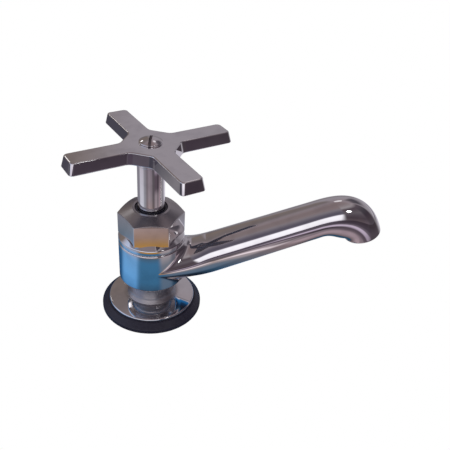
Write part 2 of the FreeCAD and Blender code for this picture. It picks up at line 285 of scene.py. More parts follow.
def axes(finish):
    # The place on the piece's own axes, in metres.
    place = finish.node("ShaderNodeTexCoord", output="Object")
    x = finish.node("ShaderNodeSeparateXYZ", {}, {"Vector": place})
    return x, x.beside("Y"), x.beside("Z")


def distance(x, y):
    return (x * x + y * y).maths("SQRT")


def grain(finish, scale, detail=2.0):
    # Noise that keeps its place on the piece.
    place = finish.node("ShaderNodeTexCoord", output="Object")
    return finish.node(
        "ShaderNodeTexNoise", {}, {"Vector": place, "Scale": scale, "Detail": detail}
    )


def surface(finish, sockets):
    shader = finish.node("ShaderNodeBsdfPrincipled", {}, sockets)
    finish.node("ShaderNodeOutputMaterial", {}, {"Surface": shader})


def relief(finish, height, depth):
    return finish.node(
        "ShaderNodeBump", {}, {"Height": height, "Distance": depth, "Strength": 1.0}
    )


chromeLook = {
    "colour": (0.86, 0.855, 0.87, 1),
    "polish": 0.015,
    "smudge": 0.03,
    "smudgeScale": 55,
    "smudgeRange": (0.5, 0.8),
    "filmColour": (0.64, 0.63, 0.66, 1),
    "filmAmount": 0.45,
    "filmScale": 150,
    "filmRange": (0.42, 0.75),
    "paintedShadeColour": (0.27, 0.245, 0.26, 1),
    "dullRoughness": 0.55,
    "rippleScale": 260,
    "rippleDepth": 0.0000035,
}


def makeChrome(name, shadeAndDullness=None):
    # Polished plate, with thin plate; where the mask says so, painted shade darkens the colour
    # and the plate is rougher.
    look = chromeLook
    material, finish = newFinish(name)
    roughness = finish.between(
        grain(finish, look["smudgeScale"], 4),
        look["polish"], look["polish"] + look["smudge"], *look["smudgeRange"]
    )
    film = grain(finish, look["filmScale"], 6)
    film = finish.between(film, 0.0, look["filmAmount"], *look["filmRange"])
    colour = finish.mixed(film, look["colour"], look["filmColour"])
    if shadeAndDullness:
        shadeAndDull = shadeAndDullness(finish)
        # Painted shade: the colour goes towards a dark grey where the mask is up.
        colour = finish.mixed(shadeAndDull, colour, look["paintedShadeColour"])
        roughness = roughness + shadeAndDull * look["dullRoughness"]
    surface(finish, {
        "Base Color": colour,
        "Metallic": 1.0,
        "Roughness": roughness,
        "Normal": relief(finish, grain(finish, look["rippleScale"]), look["rippleDepth"]),
    })
    return material


# Where shade is painted into the plate, which is also rougher there: places in metres, and
# downward as the height of the surface's normal.
shadeZones = {
    "downward": (-0.95, -0.6),
    "neckRadius": (0.0122, 0.0150),
    "neckFoot": (0.0066, 0.0078),
    "neckTop": (0.0185, 0.0190),
    "neckAmount": 0.7,
    "coneFoot": (0.0540, 0.0548),
    "coneAmount": 0.55,
    "slotEdge": 0.00005,
}


def undersideShade(finish):
    # The faces that look down, darkened as painted shade and left rougher.
    facing = finish.node("ShaderNodeNewGeometry", output="Normal")
    downward = finish.node("ShaderNodeSeparateXYZ", {}, {"Vector": facing}, output="Z")
    return finish.between(downward, 1.0, 0.0, *shadeZones["downward"])


def neckShade(finish):
    # The hollow of the neck, between the flange and the body, darkened as painted shade and left
    # rougher.
    x, y, z = axes(finish)
    inside = finish.between(distance(x, y), 1.0, 0.0, *shadeZones["neckRadius"])
    above = finish.between(z, 0.0, 1.0, *shadeZones["neckFoot"])
    below = finish.between(z, 1.0, 0.0, *shadeZones["neckTop"])
    return inside * above * below * shadeZones["neckAmount"]


def coneShade(finish):
    # The bonnet's cone, which lies in the handle's shade: painted shade in its colour, and
    # rougher plate.
    height = axes(finish)[2]
    return finish.between(height, 0.0, shadeZones["coneAmount"], *shadeZones["coneFoot"])


def slotShade(finish):
    # The strip of the screw's slot, darkened as painted shade and left rougher.
    x, y = axes(finish)[:2]
    turn = math.radians(screw["slotAzimuth"])
    across = (y * math.cos(turn) - x * math.sin(turn)).maths("ABSOLUTE")
    half = screw["slotWidth"] / 2 * mm
    return finish.between(across, 1.0, 0.0, half, half + shadeZones["slotEdge"])


def makeMatt(name, light, dark, scale, roughness, metallic=0.0, depth=0.00001, specular=0.5):
    # A plain finish with a fine mottle in its colour and sheen.
    material, finish = newFinish(name)
    mottle = grain(finish, scale, 5)
    low, high = roughness - 0.06, roughness + 0.06
    surface(finish, {
        "Base Color": finish.mixed(mottle, (*dark, 1), (*light, 1)),
        "Metallic": metallic,
        "Roughness": finish.between(mottle, low, high, 0.3, 0.7),
        "Specular IOR Level": specular,
        "Normal": relief(finish, grain(finish, scale * 4), depth),
    })
    return material


chrome = makeChrome("chromePlate")
# Painted shade on the handle's downward faces, on the body's neck and on the bonnet's cone.
handleChrome = makeChrome("handleChrome", undersideShade)
bodyChrome = makeChrome("bodyChrome", neckShade)
bonnetChrome = makeChrome("bonnetChrome", coneShade)
blackRubber = makeMatt("blackRubber", (0.021, 0.019, 0.040), (0.008, 0.007, 0.016), 900, 0.40)
brass = makeMatt("brass", (0.70, 0.49, 0.20), (0.60, 0.40, 0.15), 700, 0.3, 1.0, 0.000006)
zincSteel = makeMatt(
    "zincSteel", (0.66, 0.67, 0.69), (0.52, 0.53, 0.56), 500, 0.34, 1.0, 0.000006
)
pressedFibre = makeMatt("pressedFibre", (0.34, 0.12, 0.06), (0.22, 0.07, 0.035), 1400, 0.75)
finishes = {
    "chrome_plate": chrome,
    "black_rubber": blackRubber,
    "brass": brass,
    "zinc_steel": zincSteel,
    "pressed_fibre": pressedFibre,
}


def fitted(thing, body, slot, *replaced, material=None):
    # Gives a finished piece its material, body and slot.
    thing.data.materials.clear()
    thing.data.materials.append(material or finishes[slot])
    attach(thing, body)
    if replaced:
        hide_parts(*replaced)
    return thing


# Tap body and spout, one casting

casting = {
    "around": 256,
    "wallStep": 0.5,
    "bodyRadius": 15.9,
    "bodyBottom": 18.7,
    "bodyTop": 39.8,
    "edgeRounding": 0.9,
    "chamberRadius": 11.2,
    "chamberFloor": 20.2,
    "sealRadius": 13.52,
    "sealBottom": 38.8,
    "inletRadius": 6.5,
    "seatBore": 5.5,
    "seatBoreBottom": 9.4,
    "seatTop": 21.4,
    "seatBevel": 0.6,
    "seatEdge": 7.6,
    "seatFoot": 8.8,
    "shankEnd": -45.0,
    "shankRadius": 10.48,
    "threadRoot": 9.4,
    "threadTop": -1.5,
    "flangeBottom": 4.4,
    "flangeRadius": 21.5,
    "neckCove": 2.0,
    "flangeRise": 1.5,
    "neckFoot": (12.3, 7.5),
    "neckRadius": 11.0,
    "neckSweep": (9.5, 4.0),
}

spout = {
    "around": 144,
    "reach": 105.4,
    "rise": math.radians(20.3),
    "axisHeight": 20.0,
    "radius": 9.9,
    "endRadius": 9.2,
    "wall": 2.4,
    "rootLength": 30.0,
    "rootWidth": 15.85,
    "rootTop": 37.7,
    "rootBottom": 19.2,
    "rootEase": 1.7,
    "rootBlend": 3.5,
    "portWidth": 8.5,
    "portBottom": 21.6,
    "portTop": 31.0,
    "crownRadius": 26.0,
    "crownTurn": math.radians(30.0),
    "noseRadius": 14.5,
    "noseSwell": 1.8,
    "mouthDrop": math.radians(70.0),
    "mouthBore": 7.4,
    "mouthDepth": 4.0,
    "mouthRounding": 0.6,
    "rootRows": 60,
    "barrelRows": 12,
    "bendRows": 60,
    "waterRows": 24,
    "waterAround": 96,
}
spout["crownEnd"] = spout["rise"] - spout["crownTurn"]
spout["crownX"] = (
    spout["reach"]
    - spout["crownRadius"] * (math.sin(spout["rise"]) - math.sin(spout["crownEnd"]))
    - spout["noseRadius"] * (math.sin(spout["crownEnd"]) + math.sin(spout["mouthDrop"]))
)


def axisLine(x):
    return spout["axisHeight"] + x * math.tan(spout["rise"])


def softHigher(first, second, width):
    # The higher of two levels, eased where they cross.
    overlap = np.maximum(width - np.abs(first - second), 0) / width
    return np.maximum(first, second) + overlap * overlap * width / 4


def rootLines(x, lowLevel, highLevel, radius):
    # Bottom and top of the spout's root above a point of the centre line.
    slant = radius / math.cos(spout["rise"])
    low = softHigher(lowLevel, axisLine(x) - slant, spout["rootEase"])
    high = softHigher(highLevel, axisLine(x) + slant, spout["rootEase"])
    return low, high


def rootWidth(x, width, radius):
    along = np.clip(x / spout["rootLength"], 0, 1)
    return width + (radius - width) * along * along * (3 - 2 * along)


def rootStation(along, lowLevel, highLevel, width, radius):
    x = along * spout["rootLength"]
    lean = along * radius * math.sin(spout["rise"])
    high = rootLines(x - lean, lowLevel, highLevel, radius)[1]
    low = rootLines(x + lean, lowLevel, highLevel, radius)[0]
    halfHeight = math.hypot(2 * lean, high - low) / 2
    tilt = math.atan2(2 * lean, high - low)
    return x, (low + high) / 2, tilt, float(rootWidth(x, width, radius)), halfHeight


def barrelStation(along, radius, endRadius):
    x = spout["rootLength"] + along * (spout["crownX"] - spout["rootLength"])
    here = radius + along * (endRadius - radius)
    return x, axisLine(x), spout["rise"], here, here


def bendStation(along, radius, swell):
    # An open arc over the crown, then a tighter one down to the mouth.
    crown, nose = spout["crownRadius"], spout["noseRadius"]
    crownLength = crown * spout["crownTurn"]
    length = crownLength + nose * (spout["crownEnd"] + spout["mouthDrop"])
    travelled = along * length
    tilt = spout["rise"] - travelled / crown
    bend = crown
    x = spout["crownX"] + crown * math.sin(spout["rise"])
    z = axisLine(spout["crownX"]) - crown * math.cos(spout["rise"])
    if travelled > crownLength:
        x -= (crown - nose) * math.sin(spout["crownEnd"])
        z += (crown - nose) * math.cos(spout["crownEnd"])
        bend = nose
        tilt = spout["crownEnd"] - (travelled - crownLength) / nose
    x -= bend * math.sin(tilt)
    z += bend * math.cos(tilt)
    return x, z, tilt, radius, radius + swell * math.sin(math.pi * along) ** 2


def tube(name, stations, around):
    # A closed tube through oval stations.
    angles = np.linspace(0, 2 * math.pi, around, endpoint=False)
    rings = []
    for x, z, tilt, width, height in stations:
        across = width * np.cos(angles)
        upward = height * np.sin(angles)
        ring = np.stack([x - upward * math.sin(tilt), across, z + upward * math.cos(tilt)], 1)
        rings.append((ring * mm).tolist())
    return lofted(name, rings)


def spoutRows(lowLevel, highLevel, width, radius, endRadius, swell, rootRows, bendRows):
    barrelRows = spout["barrelRows"]
    rows = [
        rootStation(step / rootRows, lowLevel, highLevel, width, radius)
        for step in range(rootRows)
    ]
    rows += [barrelStation(step / barrelRows, radius, endRadius) for step in range(barrelRows)]
    rows += [bendStation(step / bendRows, endRadius, swell) for step in range(bendRows + 1)]
    return rows


def mouthRounded(rows):
    # The rim of the mouth turned in over a small radius.
    x, z, tilt, width, height = rows[-1]
    rounding = spout["mouthRounding"]
    rows = [row for row in rows if math.hypot(row[0] - x, row[1] - z) > rounding]
    for step in range(7):
        angle = math.pi / 2 * step / 6
        back = rounding * (1 - math.sin(angle))
        inset = rounding * (1 - math.cos(angle))
        backX, backZ = back * math.cos(tilt), back * math.sin(tilt)
        rows.append((x - backX, z - backZ, tilt, width - inset, height - inset))
    return rows


def roundedEdge(first, second):
    # Distance from two surfaces that meet in the body's rounded edge.
    rounding = casting["edgeRounding"]
    near = np.hypot(np.maximum(first + rounding, 0), np.maximum(second + rounding, 0))
    return np.minimum(np.maximum(first, second), -rounding) + near


def wallDistance(points):
    # Distance from the body's wall and its lower edge.
    out = np.hypot(points[:, 0], points[:, 1]) - casting["bodyRadius"]
    return roundedEdge(out, casting["bodyBottom"] - points[:, 2])


def spoutLevel(points):
    x, y, z = points.T
    low, high = rootLines(x, spout["rootBottom"], spout["rootTop"], spout["radius"])
    width = rootWidth(x, spout["rootWidth"], spout["radius"])
    return np.hypot(y / width, (2 * z - low - high) / (high - low))


def slope(level, points, step=0.02):
    # How a level rises along each axis.
    rises = []
    for axis in range(3):
        offset = np.zeros(3)
        offset[axis] = step
        rises.append((level(points + offset) - level(points - offset)) / (2 * step))
    return np.stack(rises, 1)


def castingLevel(points):
    # Zero on the wall, on the spout, on the rolled blend between them and on the top edge.
    blend = spout["rootBlend"]
    wall = wallDistance(points)
    wallRise = slope(wallDistance, points)
    wallRise /= np.linalg.norm(wallRise, axis=1, keepdims=True)
    rise = slope(spoutLevel, points)
    steepness = np.linalg.norm(rise, axis=1)
    tube = (spoutLevel(points) - 1) / steepness
    cosine = np.sum(wallRise * rise, axis=1) / steepness
    cosine = np.clip(cosine, -0.999, 0.999)
    fromWall = blend - wall
    fromTube = blend - tube
    sineSquared = 1 - cosine * cosine
    towardsWall = fromWall - cosine * fromTube
    towardsTube = fromTube - cosine * fromWall
    reach = np.sqrt(np.maximum(
        (fromWall ** 2 + fromTube ** 2 - 2 * fromWall * fromTube * cosine) / sineSquared, 0
    ))
    inside = (towardsWall > 0) & (towardsTube > 0)
    inside &= (wall < blend) & (tube < blend)
    side = np.where(inside, blend - reach, np.minimum(wall, tube))
    return roundedEdge(side, points[:, 2] - casting["bodyTop"])


def rootPlane(points):
    # Below zero on the body's side of the spout's first round station.
    rise = spout["rise"]
    ahead = points[:, 0] - spout["rootLength"]
    above = points[:, 2] - axisLine(spout["rootLength"])
    return ahead * math.cos(rise) + above * math.sin(rise)


def bodyOutline():
    size = casting
    wallStart = size["bodyBottom"] + size["edgeRounding"]
    wallEnd = size["bodyTop"] - size["edgeRounding"]
    rows = round((wallEnd - wallStart) / size["wallStep"])
    wall = [
        ("bodyRadius", wallStart + (wallEnd - wallStart) * step / rows, 0)
        for step in range(1, rows)
    ]
    return [
        (0, "shankEnd", 0),
        ("threadRoot", "shankEnd", 0),
        ("threadRoot", size["threadTop"] - 1, 0),
        ("shankRadius", "threadTop", 0),
        ("shankRadius", "flangeBottom", 0),
        ("flangeRadius", "flangeBottom", 0.3),
        ("flangeRadius", size["flangeBottom"] + size["flangeRise"], 0.8),
        (*size["neckFoot"], 0.3),
        ("neckRadius", *size["neckSweep"]),
        ("neckRadius", "bodyBottom", "neckCove"),
        ("bodyRadius", "bodyBottom", "edgeRounding"),
        *wall,
        ("bodyRadius", "bodyTop", "edgeRounding"),
        (0, "bodyTop", 0),
    ]


def hollowOutline():
    size = casting
    return [
        (0, size["shankEnd"] - 1, 0),
        ("inletRadius", size["shankEnd"] - 1, 0),
        ("inletRadius", "seatBoreBottom", 0),
        ("seatBore", "seatBoreBottom", 0),
        ("seatBore", size["seatTop"] - size["seatBevel"], 0),
        (size["seatBore"] + size["seatBevel"], "seatTop", 0),
        ("seatEdge", "seatTop", 0),
        ("seatFoot", "chamberFloor", 0),
        ("chamberRadius", "chamberFloor", 0),
        ("chamberRadius", "sealBottom", 0),
        ("sealRadius", "sealBottom", 0),
        ("sealRadius", size["bodyTop"] + 1, 0),
        (0, size["bodyTop"] + 1, 0),
    ]


# How the joint of spout and body is faired, and where its shading is then set exactly. Floor and
# ceiling go from the body's lower and upper edge, the plane from the spout's first round station.
fairing = {
    "ahead": 1.0,
    "moved": {"floor": -0.05, "ceiling": 5.2, "plane": 0.01, "inner": 12.0},
    "turns": 8,
    "longestMove": 0.5,
    "leastSteepness": 0.2,
    "shaded": {"floor": 0.02, "ceiling": -0.02, "plane": -0.4, "inner": 14.5},
    "sharpAngle": math.radians(32),
    "onSurface": 0.01,
    "agreement": 0.8,
}


def meshPoints(mesh):
    # The mesh's points in millimetres.
    flat = np.empty(len(mesh.vertices) * 3)
    mesh.vertices.foreach_get("co", flat)
    return flat.reshape(-1, 3) / mm


def aroundRoot(points, limits):
    # The points near the spout's root, between two heights and outside a radius.
    x, y, z = points.T
    near = (x > fairing["ahead"]) & (z > casting["bodyBottom"] + limits["floor"])
    near &= z < casting["bodyTop"] + limits["ceiling"]
    return near & (rootPlane(points) < limits["plane"]) & (np.hypot(x, y) > limits["inner"])


def blendRoot(mesh):
    # Moves the points of the rough joint onto the rolled blend.
    points = meshPoints(mesh)
    near = aroundRoot(points, fairing["moved"])
    moving = points[near]
    longest = fairing["longestMove"]
    for turn in range(fairing["turns"]):
        level = np.clip(castingLevel(moving), -longest, longest)
        rise = slope(castingLevel, moving)
        steepness = np.sum(rise * rise, axis=1, keepdims=True)
        moving = moving - level[:, None] * rise / np.maximum(steepness, fairing["leastSteepness"])
    points[near] = moving
    mesh.vertices.foreach_set("co", (points * mm).ravel())
    print("casting blended:", int(near.sum()), "points, largest error",
          round(float(np.abs(castingLevel(moving)).max()), 4), "mm")


def hollowCasting(body, mouth):
    # Cuts the valve chamber, the waterway and the bore of the mouth.
    bore = spout["radius"] - spout["wall"]
    endBore = spout["endRadius"] - spout["wall"]
    around = spout["waterAround"]
    waterRows = spoutRows(
        spout["portBottom"], spout["portTop"], spout["portWidth"], bore, endBore, 0,
        spout["waterRows"], spout["waterRows"],
    )
    x, z, tilt = mouth[:3]
    mouthRows = [
        (x + far * math.cos(tilt), z + far * math.sin(tilt), tilt, *[spout["mouthBore"]] * 2)
        for far in (-spout["mouthDepth"], 1.0)
    ]
    carved(body, turned("chamber", casting, hollowOutline(), around), "DIFFERENCE")
    carved(body, tube("waterway", waterRows, around), "DIFFERENCE")
    carved(body, tube("mouthBore", mouthRows, around), "DIFFERENCE")


def shadeRoot(mesh):
    # Gives the blend and what it joins the exact direction of the surface.
    mesh.shade_smooth()
    mesh.set_sharp_from_angle(angle=fairing["sharpAngle"])
    points = meshPoints(mesh)
    chosen = np.flatnonzero(aroundRoot(points, fairing["shaded"]))
    chosen = chosen[np.abs(castingLevel(points[chosen])) < fairing["onSurface"]]
    facing = np.zeros_like(points)
    rise = slope(castingLevel, points[chosen])
    facing[chosen] = rise / np.linalg.norm(rise, axis=1, keepdims=True)
    corners = np.empty(len(mesh.loops), np.int32)
    mesh.loops.foreach_get("vertex_index", corners)
    normals = np.empty(len(mesh.loops) * 3, np.float32)
    mesh.corner_normals.foreach_get("vector", normals)
    normals = normals.reshape(-1, 3)
    wanted = facing[corners]
    agree = np.sum(wanted * normals, axis=1) > fairing["agreement"]
    normals[agree] = wanted[agree]
    mesh.normals_split_custom_set(normals.tolist())


def makeCasting():
    body = turned("tapCasting", casting, bodyOutline(), casting["around"])
    rows = spoutRows(
        spout["rootBottom"], spout["rootTop"], spout["rootWidth"], spout["radius"],
        spout["endRadius"], spout["noseSwell"], spout["rootRows"], spout["bendRows"],
    )
    carved(body, tube("spoutOutside", mouthRounded(rows), spout["around"]), "UNION")
    blendRoot(body.data)
    hollowCasting(body, rows[-1])
    shadeRoot(body.data)
    return fitted(body, "tap_fixed", "chrome_plate", "tap_body", material=bodyChrome)


makeCasting()
print("casting made")


# Thread on the tail below the basin

thread = {
    "pitch": 1.814,
    "sunk": 0.1,
    "rootWidth": 1.72,
    "crestWidth": 0.4,
    "bottom": -44.0,
    "top": -3.4,
    "stepsPerTurn": 96,
}


class Rig(Finish):
    # A geometry node group with named inputs.
    def __init__(self, name, inputs):
        self.tree = bpy.data.node_groups.new(name, "GeometryNodeTree")
        self.places = {}
        for label, kind in inputs.items():
            socket = self.tree.interface.new_socket(label, in_out="INPUT", socket_type=kind)
            self.places[label] = socket.identifier
        self.tree.interface.new_socket(
            "Geometry", in_out="OUTPUT", socket_type="NodeSocketGeometry"
        )
        self.given = self.node("NodeGroupInput")

    def input(self, label):
        return self.given.beside(label)

    def used(self, name, values):
        # A plain piece made by the group with these inputs.
        thing = placed(bpy.data.meshes.new(name), name)
        change = thing.modifiers.new("rig", "NODES")
        change.node_group = self.tree
        for label, value in values.items():
            change[self.places[label]] = value
        return baked(thing)


def threadRig():
    size = "NodeSocketFloat"
    rig = Rig("helicalThread", {
        "Radius": size, "Bottom": size, "Pitch": size, "Turns": size, "Depth": size,
        "Root Width": size, "Crest Width": size, "Steps Per Turn": "NodeSocketInt",
        "Material": "NodeSocketMaterial",
    })
    # The curve's normals point at the axis, so the ridge rises against them.
    radius, turns, crest = rig.input("Radius"), rig.input("Turns"), rig.input("Depth") * -1.0
    helix = rig.node("GeometryNodeCurveSpiral", {}, {
        "Resolution": rig.input("Steps Per Turn"),
        "Rotations": turns,
        "Start Radius": radius,
        "End Radius": radius,
        "Height": rig.input("Pitch") * turns,
    })
    upright = rig.node("GeometryNodeSetCurveNormal", {"mode": "Z_UP"}, {"Curve": helix})
    corners = {}
    for number, (out, width, side) in enumerate((
        (0.0, "Root Width", -0.5), (crest, "Crest Width", -0.5),
        (crest, "Crest Width", 0.5), (0.0, "Root Width", 0.5),
    ), 1):
        corners[f"Point {number}"] = rig.node(
            "ShaderNodeCombineXYZ", {}, {"X": out, "Y": rig.input(width) * side}
        )
    profile = rig.node("GeometryNodeCurvePrimitiveQuadrilateral", {"mode": "POINTS"}, corners)
    ridge = rig.node("GeometryNodeCurveToMesh", {}, {
        "Curve": upright, "Profile Curve": profile, "Fill Caps": True,
    })
    start = rig.node("ShaderNodeCombineXYZ", {}, {"Z": rig.input("Bottom")})
    lifted = rig.node("GeometryNodeTransform", {}, {"Geometry": ridge, "Translation": start})
    whole = rig.node("GeometryNodeRealizeInstances", {}, {"Geometry": lifted})
    faced = rig.node("GeometryNodeSetMaterial", {}, {
        "Geometry": whole, "Material": rig.input("Material"),
    })
    rig.node("NodeGroupOutput", {}, {"Geometry": faced})
    return rig


def makeTailThread():
    size = thread
    piece = threadRig().used("tailThread", {
        "Radius": (casting["threadRoot"] - size["sunk"]) * mm,
        "Bottom": size["bottom"] * mm,
        "Pitch": size["pitch"] * mm,
        "Turns": (size["top"] - size["bottom"]) / size["pitch"],
        "Depth": (casting["shankRadius"] - casting["threadRoot"] + size["sunk"]) * mm,
        "Root Width": size["rootWidth"] * mm,
        "Crest Width": size["crestWidth"] * mm,
        "Steps Per Turn": size["stepsPerTurn"],
        "Material": chrome,
    })
    shape = bmesh.new()
    shape.from_mesh(piece.data)
    bmesh.ops.recalc_face_normals(shape, faces=shape.faces)
    if shape.calc_volume(signed=True) < 0:
        bmesh.ops.reverse_faces(shape, faces=shape.faces)
    shape.to_mesh(piece.data)
    shape.free()
    reach = max(math.hypot(point.co.x, point.co.y) for point in piece.data.vertices) / mm
    heights = [point.co.z / mm for point in piece.data.vertices]
    print("thread reaches", round(reach, 3), "mm, from", round(min(heights), 2),
          "to", round(max(heights), 2), "with", len(piece.data.polygons), "faces")
    piece.data.shade_smooth()
    piece.data.set_sharp_from_angle(angle=math.radians(25))
    return fitted(piece, "tap_fixed", "chrome_plate")


makeTailThread()
print("tail thread made")


# Bonnet: a hexagon on a round collar, turned off above to a cone

bonnet = {
    "around": 360,
    "stepAngle": 12,
    "bottom": 40.0,
    "collarTop": 42.6,
    "slopeTop": 44.4,
    "collarRadius": 15.9,
    "acrossFlats": 27.6,
    "cornerRounding": 0.5,
    "hexBottom": 43.8,
    "hexTop": 54.3,
    "top": 57.6,
    "topRadius": 8.9,
    "cupRadius": 7.8,
    "cupBottom": 54.6,
    "stuffingRadius": 7.2,
    "stuffingBottom": 45.7,
    "shaftHole": 4.46,
    "threadHole": 6.52,
    "threadTop": 44.5,
    "spigotRadius": 11.08,
    "spigotBottom": 31.0,
}


def hexRadius(angle):
    # Radius of the hexagon at an azimuth, its corners (at 0, 60 and so on) rounded.
    flat = bonnet["acrossFlats"] / 2
    rounding = bonnet["cornerRounding"]
    fromCorner = abs((angle + math.pi / 6) % (math.pi / 3) - math.pi / 6)
    centre = (flat - rounding) / math.cos(math.pi / 6)
    reach = centre * math.cos(fromCorner) + math.sqrt(
        rounding ** 2 - min(rounding, centre * math.sin(fromCorner)) ** 2
    )
    straight = flat / math.cos(math.pi / 6 - fromCorner)
    tangent = math.atan2(rounding / 2, centre + rounding * math.cos(math.pi / 6))
    return reach if fromCorner < tangent else straight


def bonnetOutline(angle):
    size = bonnet
    edge = hexRadius(angle)
    sharp = size["acrossFlats"] / math.sqrt(3)
    slopeHeight = size["slopeTop"] - size["collarTop"]
    lean = (size["collarRadius"] - size["acrossFlats"] / 2) / slopeHeight
    footRadius = size["collarRadius"] - lean * (size["hexBottom"] - size["collarTop"])
    footRadius = min(footRadius, edge - 0.02)
    footHeight = size["collarTop"] + (size["collarRadius"] - footRadius) / lean
    coneRise = (size["top"] - size["hexTop"]) / (sharp - size["topRadius"])
    hexTop = size["hexTop"] + coneRise * (sharp - edge)
    return measured(size, [
        ("threadHole", "spigotBottom", 0),
        ("spigotRadius", "spigotBottom", 0.6),
        ("spigotRadius", "bottom", 0),
        ("collarRadius", "bottom", 0.5),
        ("collarRadius", "collarTop", 0.9),
        (footRadius, footHeight, 0),
        (edge, footHeight + 0.001, 0),
        (edge, hexTop, 0.22),
        ("topRadius", "top", 0.4),
        ("cupRadius", "top", 0),
        ("cupRadius", "cupBottom", 0),
        ("stuffingRadius", "cupBottom", 0),
        ("stuffingRadius", "stuffingBottom", 0),
        ("shaftHole", "stuffingBottom", 0),
        ("shaftHole", "threadTop", 0),
        ("threadHole", "threadTop", 0),
    ])


def makeBonnet():
    columns = []
    for step in range(bonnet["around"]):
        angle = 2 * math.pi * step / bonnet["around"]
        corners = [run[0] for run in roundedRuns(bonnetOutline(angle), bonnet["stepAngle"])]
        columns.append([
            Vector((radius * math.cos(angle), radius * math.sin(angle), height)) * mm
            for radius, height in corners
        ])
    piece = lofted("bonnetPiece", list(zip(*columns, strict=True)), looped=True)
    evenShading(piece, 28)
    return fitted(piece, "tap_fixed", "chrome_plate", "bonnet", material=bonnetChrome)


makeBonnet()
print("bonnet made")


# Rubber washer and cup, and the sleeve

washer = {
    "around": 192,
    "bore": 10.88,
    "radius": 25.0,
    "topRadius": 22.3,
    "height": 4.4,
    "edge": 2.0,
}
washerPiece = turned("baseWasher", washer, [
    ("bore", 0, 0),
    ("radius", 0, 0.3),
    ("radius", "edge", 0.8),
    ("topRadius", "height", 0.5),
    ("bore", "height", 0),
], washer["around"])
fitted(washerPiece, "tap_fixed", "black_rubber", "base_washer")

cup = {
    "around": 128,
    "shaft": 4.46,
    "outer": 7.74,
    "rim": 6.4,
    "bottom": 54.6,
    "top": 57.3,
    "floor": 55.7,
}
cupPiece = turned("stemCup", cup, [
    ("shaft", "bottom", 0.2),
    ("outer", "bottom", 0.2),
    ("outer", "top", 0.5),
    ("rim", "top", 0.5),
    ("rim", "floor", 0.2),
    ("shaft", "floor", 0.2),
], cup["around"])
fitted(cupPiece, "tap_fixed", "black_rubber", "stem_cup")

sleeve = {
    "around": 192,
    "inner": 5.1,
    "radius": 6.3,
    "bottom": 56.0,
    "top": 80.3,
    "rounding": 1.0,
}
sleevePiece = turned("handleSleeve", sleeve, [
    ("inner", "bottom", 0),
    ("radius", "bottom", "rounding"),
    ("radius", "top", 0.1),
    ("inner", "top", 0),
], sleeve["around"])
fitted(sleevePiece, "handle", "chrome_plate", "handle_sleeve")
print("washer, cup and sleeve made")


# Handle

handle = {
    "top": 90.6,
    "bottom": 85.0,
    "reach": 37.8,
    "halfWidth": 5.0,
    "crotch": 12.4,
    "draftEnd": 1.4,
    "draftSide": 0.8,
    "azimuth": 25.7,
    "upperEdge": 0.55,
    "lowerEdge": 0.5,
    "endRounding": 1.8,
    "crotchRounding": 4.5,
    "flankStep": 14,
    "planStep": 11,
    "bossAround": 128,
    "hollowAround": 64,
    "bossBottom": 80.3,
    "bossEnd": 6.6,
    "flareBottom": 82.65,
    "flareRounding": 5.0,
    "bossRadius": 8.4,
    "spigotRadius": 5.04,
    "spigotBottom": 77.3,
    "shaftHole": 4.45,
    "squareTop": 88.4,
    "screwHole": 2.12,
    "washerRecess": 4.62,
    "washerBottom": 89.6,
}


def crossLoop(reach, halfWidth, crotch, height):
    # The cross seen from above, its ends and crotches rounded.
    corners = []
    for arm in range(4):
        angle = math.radians(handle["azimuth"] + 90 * arm)
        along = np.array([math.cos(angle), math.sin(angle)])
        across = np.array([-math.sin(angle), math.cos(angle)])
        for far, side, rounding in (
            (crotch, -1, handle["crotchRounding"]), (reach, -1, handle["endRounding"]),
            (reach, 1, handle["endRounding"]), (crotch, 1, handle["crotchRounding"]),
        ):
            corners.append((*(along * far + across * side * halfWidth), rounding))
    return [Vector((*run[0], height)) * mm for run in roundedRuns(corners, handle["planStep"])]


def makeHandle():
    size = handle
    inner = -2.0
    flank = roundedRuns(measured(size, [
        (inner, "top", 0),
        (inner, "bottom", 0),
        ("draftSide", "bottom", "lowerEdge"),
        (0, "top", "upperEdge"),
    ]), size["flankStep"])
    flank = [run[0] for run in flank if run[0][0] > inner + 0.001]
    loops = [
        crossLoop(
            size["reach"] + out * size["draftEnd"] / size["draftSide"],
            size["halfWidth"] + out,
            size["crotch"] + out,
            height,
        )
        for out, height in flank
    ]
    cross = lofted("crossHandle", loops)
    boss = turned("boss", size, [
        (0, "spigotBottom", 0),
        ("spigotRadius", "spigotBottom", 0.3),
        ("spigotRadius", "bossBottom", 0),
        ("bossEnd", "bossBottom", 0.2),
        ("bossEnd", "flareBottom", "flareRounding"),
        ("bossRadius", "bottom", 0),
        ("bossRadius", size["bottom"] + 1, 0),
        (0, size["bottom"] + 1, 0),
    ], size["bossAround"])
    carved(cross, boss, "UNION")
    hollow = turned("handleHollow", size, [
        (0, size["spigotBottom"] - 1, 0),
        ("shaftHole", size["spigotBottom"] - 1, 0),
        ("shaftHole", "squareTop", 0),
        ("screwHole", "squareTop", 0),
        ("screwHole", "washerBottom", 0),
        ("washerRecess", "washerBottom", 0),
        ("washerRecess", size["top"] + 1, 0),
        (0, size["top"] + 1, 0),
    ], size["hollowAround"])
    carved(cross, hollow, "DIFFERENCE")
    evenShading(cross, 30)
    return fitted(cross, "handle", "chrome_plate", "cross_handle", material=handleChrome)


makeHandle()
print("handle made")


# Screw in the middle of the handle

screw = {
    "around": 128,
    "radius": 2.0,
    "bottom": 79.6,
    "seat": 90.6,
    "edge": 91.2,
    "crown": 93.0,
    "headRadius": 5.3,
    "domeRows": 24,
    "slotWidth": 1.2,
    "slotDepth": 1.3,
    "slotAzimuth": -97.0,
}


